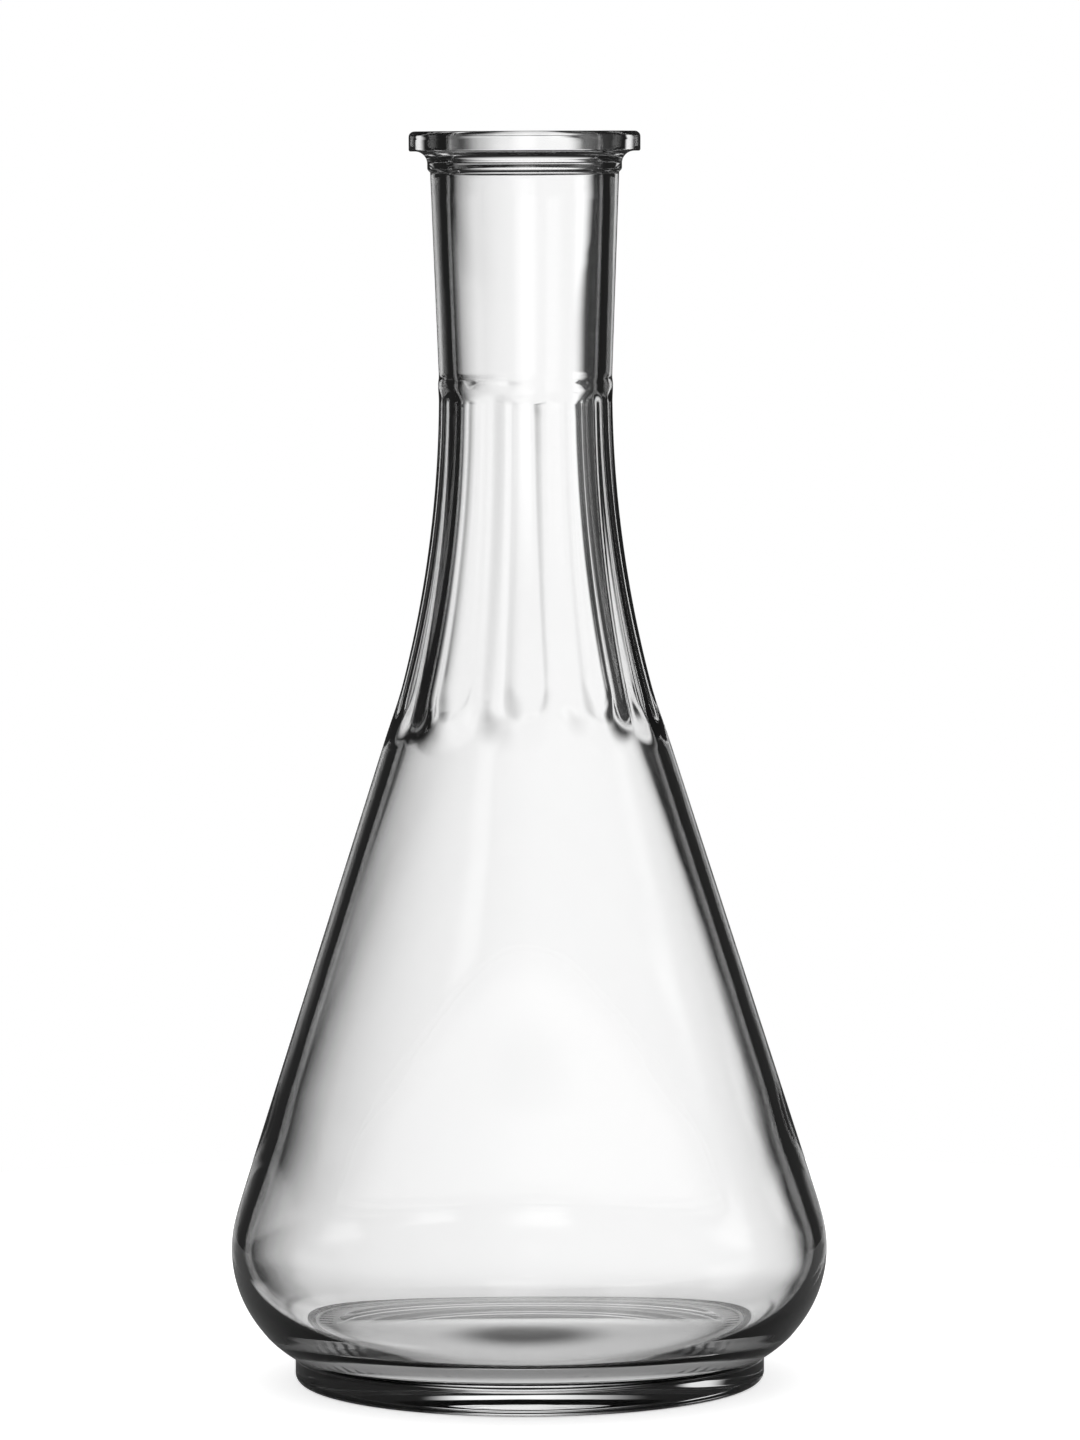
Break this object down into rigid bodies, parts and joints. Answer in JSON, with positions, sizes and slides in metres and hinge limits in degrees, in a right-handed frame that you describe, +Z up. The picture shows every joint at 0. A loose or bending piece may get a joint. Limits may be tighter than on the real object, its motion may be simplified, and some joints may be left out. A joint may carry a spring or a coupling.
{
  "type": "glass carafe",
  "caption": "Clear glass carafe: cone body with a rounded heel on a low foot, flat panels round the shoulder, plain neck and a wide rim flange.",
  "frame": {"origin": "centre of the foot's bearing ring, on the table", "axes": "+Z up along the bottle's axis, towards the mouth; the middle of one panel faces -Y"},
  "size_m": [0.1268, 0.1268, 0.265],
  "materials": {
    "glass": "clear, fire polished"
  },
  "bodies": {
    "root": {"bottle": "glass"}
  },
  "joints": []
}
